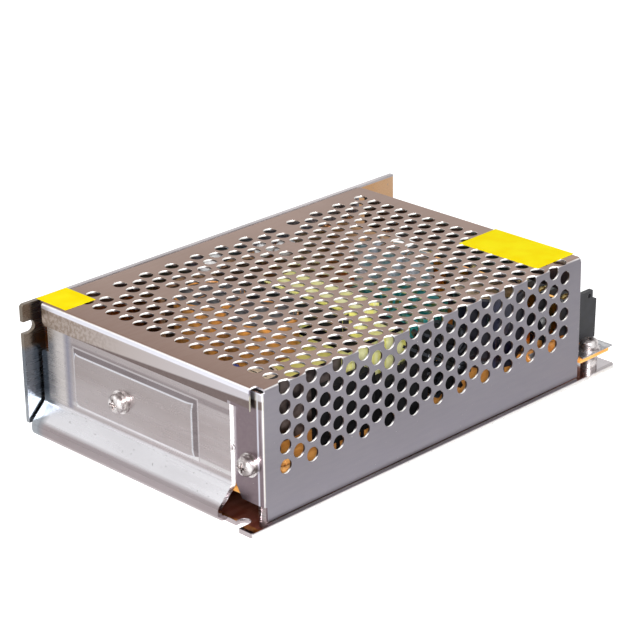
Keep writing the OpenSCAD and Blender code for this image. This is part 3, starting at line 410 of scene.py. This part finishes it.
def sheet_aluminium():
    """Bright rolled aluminium: grain along the sheet on the outside, close to a mirror inside the fold."""
    material, tree, shader = new_material("sheet_aluminium", metallic=1.0)
    grain = patches(tree, 700, 0.25, 0.75, (0.05, 0.05, 1), 4.0)
    cloud = patches(tree, 30, 0.35, 0.7)
    at_end = band(tree, ALONG, -OUT, FOLDED_END, 0.4 * MM)
    base = mix(tree, grain, colour(170, 164, 166), colour(206, 200, 202))
    base = mix(tree, at_end, base, folded_end_tone(tree, grain))
    # Painted highlight: the panel's edge on the open side is white and barely metallic.
    cut_edge_highlight = product(tree, facing(tree, ACROSS, 0.8, 0.95), band(tree, UP, 9 * MM, OUT), at_end)
    cut_edge_highlight = product(tree, cut_edge_highlight, band(tree, ACROSS, -OUT, -30 * MM))
    base = mix(tree, cut_edge_highlight, base, colour(252, 252, 252))
    rim = band(tree, ACROSS, -OUT, chassis_low.y + 1.4 * MM)
    outer_strip = product(tree, rim, band(tree, UP, 1.4 * MM, OUT))
    base = mix(tree, outer_strip, base, colour(140, 134, 132))
    base = mix(tree, product(tree, cloud, 0.2), base, colour(176, 170, 174))
    side_face = band(tree, ACROSS, -OUT, chassis_low.y + 0.4 * MM)
    base_edge = product(tree, side_face, band(tree, UP, -OUT, 1.3 * MM))
    base = mix(tree, base_edge, base, colour(240, 238, 236))
    reflected = mix(tree, cloud, colour(206, 160, 116), colour(226, 196, 168))
    base = mix(tree, inner_wall(tree), base, reflected)
    # Painted reflection of the board's maroon underside in the base's open corner.
    base = mix(tree, base_corner(tree), base, colour(150, 62, 76))
    specks = product(tree, patches(tree, 1100, 0.70, 0.74, detail=1.0), 0.5)
    base = mix(tree, specks, base, colour(150, 148, 150))
    just_inside = band(tree, UP, 1.3 * MM, 4 * MM)
    rough = ramp(tree, just_inside, ramp(tree, grain, 0.20, 0.12), -0.14)
    feed(tree, shader, Base_Color=base, Roughness=rough, Metallic=ramp(tree, cut_edge_highlight, 1, -0.9))
    set_bump(tree, shader, grain, 0.10, 0.02 * MM)
    return material


# ------------------------------------------------------------ the other finishes


def plating(name, light, dark):
    """Plating or bare metal with small tarnished patches."""
    material, tree, shader = new_material(name, metallic=1.0)
    cloud = patches(tree, 500, 0.35, 0.65)
    feed(tree, shader, Base_Color=mix(tree, cloud, light, dark), Roughness=ramp(tree, cloud, 0.26, 0.12))
    return material


def moulded(name, base, other, roughness=0.45, scale=400, **constants):
    """Plastic, lacquer or epoxy with a fine uneven surface."""
    material, tree, shader = new_material(name, **constants)
    cloud = patches(tree, scale, 0.35, 0.65)
    feed(tree, shader, Base_Color=mix(tree, cloud, base, other), Roughness=ramp(tree, cloud, roughness, 0.15))
    set_bump(tree, shader, patches(tree, scale * 4, 0.3, 0.7), 0.08, 0.03 * MM)
    return material


def sleeved_can(node, name, sleeve, shade=colour(40, 42, 50), bare_top=True):
    """A capacitor: a shrunk sleeve with soft patches, over a can whose sunk top is bare or dark."""
    material, tree, shader = new_material(name)
    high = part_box(node)[1]
    cloud = patches(tree, 260, 0.35, 0.65)
    top = product(tree, band(tree, UP, high.z - 0.9 * MM, OUT), facing(tree, UP, 0.9, 0.99))
    base = mix(tree, product(tree, cloud, 0.7), sleeve, shade)
    base = mix(tree, top, base, colour(236, 214, 186) if bare_top else colour(40, 40, 44))
    feed(tree, shader, Base_Color=base, Roughness=ramp(tree, cloud, 0.28, 0.2))
    if bare_top:
        feed(tree, shader, Metallic=top)
    return material


def phenolic_board():
    """Pressed paper laminate: tan faces, a fibrous orange edge, and a pink underside."""
    material, tree, shader = new_material("phenolic_board", roughness=0.42)
    fibre = patches(tree, 600, 0.3, 0.7, (0.2, 1, 3))
    face = mix(tree, fibre, colour(214, 138, 62), colour(240, 170, 90))
    edge = mix(tree, fibre, colour(236, 150, 56), colour(255, 196, 110))
    underside = mix(tree, fibre, colour(180, 84, 96), colour(236, 160, 168))
    base = mix(tree, facing(tree, UP), edge, face)
    base = mix(tree, band(tree, UP, -OUT, board_low.z + 0.1 * MM), base, underside)
    feed(tree, shader, Base_Color=base)
    set_bump(tree, shader, fibre, 0.15, 0.04 * MM)
    return material


def yellow_film():
    """Plain yellow sticker with little shine, slightly uneven where it bridges the holes."""
    material, tree, shader = new_material("yellow_film", 0.45, **{"Specular IOR Level": 0.01})
    cloud = patches(tree, 120, 0.3, 0.7)
    feed(tree, shader, Base_Color=mix(tree, cloud, colour(252, 226, 0), colour(255, 238, 24)))
    set_bump(tree, shader, patches(tree, 160, 0.3, 0.7), 0.12, 0.1 * MM)
    return material


def wound_tape():
    """Pale yellow tape over the windings, with the edges of its turns showing."""
    material, tree, shader = new_material("wound_tape", roughness=0.3)
    turns = patches(tree, 500, 0.4, 0.6, (1, 0.05, 0.05))
    cloud = patches(tree, 90, 0.35, 0.65)
    base = mix(tree, turns, colour(255, 250, 140), colour(255, 255, 200))
    base = mix(tree, product(tree, cloud, 0.3), base, colour(240, 232, 120))
    feed(tree, shader, Base_Color=base)
    set_bump(tree, shader, turns, 0.2, 0.05 * MM)
    return material


def enamelled_wire(name, light, dark):
    """Lacquered copper wire."""
    material, tree, shader = new_material(name, metallic=0.6, roughness=0.3)
    feed(tree, shader, Base_Color=mix(tree, patches(tree, 300, 0.35, 0.65), light, dark))
    return material


def box_capacitor():
    """A box film capacitor: yellow top, dark sides."""
    material, tree, shader = new_material("x_box", roughness=0.3)
    cloud = patches(tree, 200, 0.35, 0.65)
    sides = mix(tree, cloud, colour(20, 18, 22), colour(104, 94, 92))
    feed(tree, shader, Base_Color=mix(tree, facing(tree, UP), sides, colour(255, 246, 140)))
    return material


DULL = {"Specular IOR Level": 0.15}
nickel = plating("bright_nickel", colour(236, 231, 230), colour(150, 141, 140))
tinned = plating("tinned_plate", colour(196, 196, 198), colour(150, 150, 154))
yellow_zinc = plating("yellow_zinc", colour(226, 206, 140), colour(180, 150, 90))
brass = plating("stamped_brass", colour(255, 196, 96), colour(232, 150, 60))
epoxy = moulded("black_epoxy", colour(5, 5, 6), colour(18, 18, 20), 0.6, **DULL)
ferrite = moulded("ferrite", colour(6, 6, 8), colour(16, 16, 19), 0.6, 300, **DULL)
bobbin = moulded("bobbin", colour(26, 28, 28), colour(44, 48, 46))
sealant = moulded("sealant", colour(236, 236, 238), colour(250, 250, 250), 0.3, 300)
tape = wound_tape()

FINISHES = {
    "cover": cover_steel(),
    "chassis": sheet_aluminium(),
    "circuit_board": phenolic_board(),
    "labels": yellow_film(),
    "transformer_bobbin": bobbin,
    "output_choke_core": moulded("teal_coating", colour(50, 160, 162), colour(80, 180, 178), 0.4, 300),
    "output_choke_winding": enamelled_wire("olive_wire", colour(134, 148, 84), colour(40, 150, 150)),
    "line_choke_winding": enamelled_wire("dark_wire", colour(58, 62, 70), colour(8, 8, 10)),
    "x_capacitor": box_capacitor(),
    "y_capacitors": moulded("blue_lacquer", colour(60, 96, 196), colour(80, 120, 214), 0.25, 200),
    "varistor": moulded("slate_lacquer", colour(12, 12, 26), colour(40, 42, 60), 0.25, 200),
    "thermistor": moulded("dark_lacquer", colour(8, 8, 10), colour(30, 30, 34), 0.3, 200),
    "fuse": moulded("fuse_body", colour(170, 104, 48), colour(206, 140, 70), 0.2, 200),
    "switching_transistors": moulded("brown_epoxy", colour(50, 34, 22), colour(80, 58, 40), 0.5),
    "insulating_pads": moulded("pad", colour(150, 112, 84), colour(176, 140, 108), 0.6),
    "resistors": moulded("resistor_body", colour(206, 140, 74), colour(226, 170, 100), 0.3),
    "led": moulded("led_lens", colour(60, 180, 80), colour(90, 210, 110), 0.15),
    "trimmer_body": moulded("trimmer_blue", colour(40, 80, 170), colour(60, 100, 190), 0.35),
    "trimmer_rotor": moulded("rotor_white", colour(226, 224, 216), colour(238, 236, 230), 0.4),
    "terminal_block": moulded("black_mould", colour(28, 28, 31), colour(44, 44, 48)),
    "terminal_contacts": brass,
}
for finish, nodes in (
    (nickel, ("board_standoffs", "board_screws", "case_screws", "spring_washers", "flat_washers",
              "wall_screws", "clamp_screws")),
    (tinned, ("ground_plate", "fuse_clips", "clamp_bar")),
    (tape, ("transformer_winding", "core_tape")),
    (ferrite, ("transformer_core", "line_choke_core", "driver_transformer")),
    (epoxy, ("bridge_rectifier", "output_rectifier", "control_ic")),
):
    FINISHES.update({node: finish for node in nodes})
for number in (1, 2):
    node = f"bulk_capacitor_{number}"
    tones = colour(216, 146, 70), colour(128, 96, 60)
    FINISHES[node] = sleeved_can(node, f"bulk_sleeve_{number}", *tones, bare_top=False)
for node, name, *tones in (
    ("line_capacitor", "line_sleeve", colour(14, 14, 30)),
    ("output_capacitors", "output_sleeve", colour(206, 210, 222), colour(40, 130, 134)),
    ("aux_capacitor", "aux_sleeve", colour(24, 24, 28)),
):
    FINISHES[node] = sleeved_can(node, name, *tones)

for name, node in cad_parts.items():
    if name.startswith("clamp_plate"):
        finish = tinned
    elif name.startswith("terminal_screw"):
        finish = yellow_zinc
    else:
        finish = FINISHES[name]
    node.material_slots[0].material = finish

# ------------------------------------------------------------ the two folded sheets


def broken_edges(node, width, name):
    """Stands for a sheet metal node: the same sheet with its sharp edges slightly broken."""
    piece = bpy.data.objects.new(name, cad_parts[node].data.copy())
    bpy.context.scene.collection.objects.link(piece)
    bpy.ops.object.select_all(action="DESELECT")
    piece.select_set(True)
    bpy.context.view_layer.objects.active = piece
    bpy.ops.object.mode_set(mode="EDIT")
    bpy.ops.mesh.select_all(action="SELECT")
    bpy.ops.mesh.remove_doubles(threshold=0.001 * MM)
    bpy.ops.mesh.dissolve_limited(angle_limit=math.radians(0.3))
    bpy.ops.object.mode_set(mode="OBJECT")
    bevel = piece.modifiers.new("edges", "BEVEL")
    bevel.width = width
    bevel.segments = 1
    bevel.limit_method = "ANGLE"
    bevel.angle_limit = math.radians(40)
    bpy.ops.object.modifier_apply(modifier=bevel.name)
    bpy.ops.object.shade_smooth_by_angle(angle=math.radians(50))
    weighted = piece.modifiers.new("flats", "WEIGHTED_NORMAL")
    weighted.keep_sharp = True
    bpy.ops.object.modifier_apply(modifier=weighted.name)
    piece.data.materials.clear()
    piece.data.materials.append(FINISHES[node])
    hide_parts(node)
    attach(piece, CASE)


broken_edges("cover", 0.08 * MM, "cover_sheet")
broken_edges("chassis", 0.15 * MM, "chassis_sheet")

# ------------------------------------------------------------ cheeks and tape on the transformer


def boxes(name, spans, finish):
    """One piece made of boxes, each given by its lowest and highest corners."""
    parts = []
    for low, high in spans:
        bpy.ops.mesh.primitive_cube_add(size=1)
        part = bpy.context.object
        for corner in part.data.vertices:
            corner.co = [low[k] if corner.co[k] < 0 else high[k] for k in range(3)]
        parts.append(part)
    bpy.ops.object.select_all(action="DESELECT")
    for part in parts:
        part.select_set(True)
    bpy.context.view_layer.objects.active = parts[0]
    bpy.ops.object.join()
    piece = bpy.context.object
    piece.name = name
    piece.data.materials.append(finish)
    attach(piece, CASE)


GAP = 0.12 * MM
TAPE_T = 0.3 * MM
CHEEK_T = 0.7 * MM
CHEEK_RISE = 0.7 * MM
near_cheek_x = coil_low.x - GAP
far_cheek_x = coil_high.x + GAP
cheek_foot = core_high.z + GAP
cheek_top = coil_high.z + CHEEK_RISE
boxes("bobbin_cheeks", [
    ((near_cheek_x - CHEEK_T, coil_low.y, cheek_foot), (near_cheek_x, coil_high.y, cheek_top)),
    ((far_cheek_x, coil_low.y, cheek_foot), (far_cheek_x + CHEEK_T, coil_high.y, cheek_top)),
], bobbin)

# One strip goes over the coil, down beside it and out along the core's top to the core's edge
strip_x0 = coil_low.x + 0.4 * MM
strip_x1 = coil_high.x - 0.4 * MM
strip_top = coil_high.z + 0.9 * MM
drop_y = coil_low.y - 2.2 * MM
ledge_z = core_high.z + 0.5 * MM
ledge_y = core_low.y - GAP - 0.4 * MM
# The other is folded over the edge of the core at the end nearer the folded panel
fold_x = core_low.x - GAP
fold_z = core_high.z + GAP
fold_y0 = -3 * MM
fold_y1 = 7 * MM
boxes("fixing_tape", [
    ((strip_x0, drop_y, strip_top), (strip_x1, coil_high.y, strip_top + TAPE_T)),
    ((strip_x0, drop_y - TAPE_T, ledge_z), (strip_x1, drop_y, strip_top + TAPE_T)),
    ((strip_x0, ledge_y - TAPE_T, ledge_z), (strip_x1, drop_y, ledge_z + TAPE_T)),
    ((fold_x - TAPE_T, fold_y0, core_low.z), (fold_x, fold_y1, fold_z)),
    ((fold_x - TAPE_T, fold_y0, fold_z), (near_cheek_x - CHEEK_T, fold_y1, fold_z + TAPE_T)),
], tape)

# ------------------------------------------------------------ sealant on the wall

WALL_FACE = chassis_high.y - 1.6 * MM
# How much of its radius a lump stands out from the wall
LUMP_STANDS_OUT = 0.72


def lump(name, x, z, radius):
    """A rounded lump of sealant on the wall's inner face."""
    bpy.ops.mesh.primitive_uv_sphere_add(segments=32, ring_count=16, radius=radius)
    piece = bpy.context.object
    piece.name = name
    bpy.ops.object.mode_set(mode="EDIT")
    bpy.ops.transform.resize(value=(1.5, 0.8, 1))
    bpy.ops.transform.translate(value=(x, WALL_FACE - radius * LUMP_STANDS_OUT, z))
    bpy.ops.object.mode_set(mode="OBJECT")
    bpy.ops.object.shade_smooth()
    piece.data.materials.append(sealant)
    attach(piece, CASE)


lump("sealant_1", -6.5 * MM, 35 * MM, 3.2 * MM)
lump("sealant_2", 17 * MM, 33 * MM, 2.6 * MM)
lump("sealant_3", 26 * MM, 31 * MM, 3.0 * MM)

# ------------------------------------------------------------ floor, light and camera


def pale_floor():
    """A white floor that keeps the shadow, and shows as plain white where it is lit."""
    material, tree, shader = new_material("pale_floor", roughness=0.9)
    shader.inputs["Base Color"].default_value = (0.94, 0.94, 0.94, 1)
    shader.inputs["Specular IOR Level"].default_value = 0.0
    shader.inputs["Emission Color"].default_value = (1, 1, 1, 1)
    seen_directly = add(tree, "ShaderNodeLightPath").outputs["Is Camera Ray"]
    feed(tree, shader, Emission_Strength=product(tree, seen_directly, 0.6))
    return material


bpy.ops.mesh.primitive_plane_add(size=8, location=(0, 0, chassis_low.z - 0.02 * MM))
floor = bpy.context.object
floor.name = "floor"
floor.data.materials.append(pale_floor())

# The world is plain white where it is seen, directly or in metal, and lights the rest at WORLD_LIGHT
WORLD_LIGHT = 0.44
world = bpy.data.worlds.new("studio")
bpy.context.scene.world = world
world.use_nodes = True
sky = world.node_tree
sky.nodes.clear()
rays = add(sky, "ShaderNodeLightPath").outputs
seen = maths(sky, "MAXIMUM", rays["Is Camera Ray"], rays["Is Glossy Ray"])
seen = maths(sky, "MAXIMUM", seen, rays["Is Transmission Ray"])
strength = ramp(sky, seen, WORLD_LIGHT, 1 - WORLD_LIGHT)
background = add(sky, "ShaderNodeBackground", {"Color": (1, 1, 1, 1), "Strength": strength})
sky.links.new(background.outputs[0], add(sky, "ShaderNodeOutputWorld").inputs[0])

CAMERA_PLACE = Vector((-0.467, -0.4662, 0.3035))
CAMERA_AIM = Vector((-0.0007, 0.0049, 0.0271))
CAMERA_ROLL = math.radians(0.83)
CASE_MIDDLE = Vector((0, 0, 0.02))


def soft_lamp(name, place, power, size, aim=CASE_MIDDLE):
    """A round lamp that shines at a point; its size is a diameter."""
    lamp = bpy.data.lights.new(name, "AREA")
    lamp.energy = power
    lamp.shape = "DISK"
    lamp.size = size
    holder = bpy.data.objects.new(name, lamp)
    holder.location = place
    holder.rotation_euler = (aim - Vector(place)).to_track_quat("-Z", "Y").to_euler()
    bpy.context.scene.collection.objects.link(holder)


# The first lamp stands on the camera's axis, about a third further back
soft_lamp("ring", CAMERA_AIM + 1.35 * (CAMERA_PLACE - CAMERA_AIM), 8, 0.08, CAMERA_AIM)
soft_lamp("front", (-0.60, -0.64, 0.50), 4, 0.3)
soft_lamp("key", (-0.9, 0.5, 1.0), 1.2, 0.5)

camera_data = bpy.data.cameras.new("camera")
camera_data.lens = 134.2
camera = bpy.data.objects.new("camera", camera_data)
camera.location = CAMERA_PLACE
turn = (CAMERA_AIM - CAMERA_PLACE).to_track_quat("-Z", "Y") @ Quaternion((0, 0, 1), -CAMERA_ROLL)
camera.rotation_euler = turn.to_euler()
bpy.context.scene.collection.objects.link(camera)
bpy.context.scene.camera = camera
bpy.context.scene.view_settings.view_transform = "Standard"
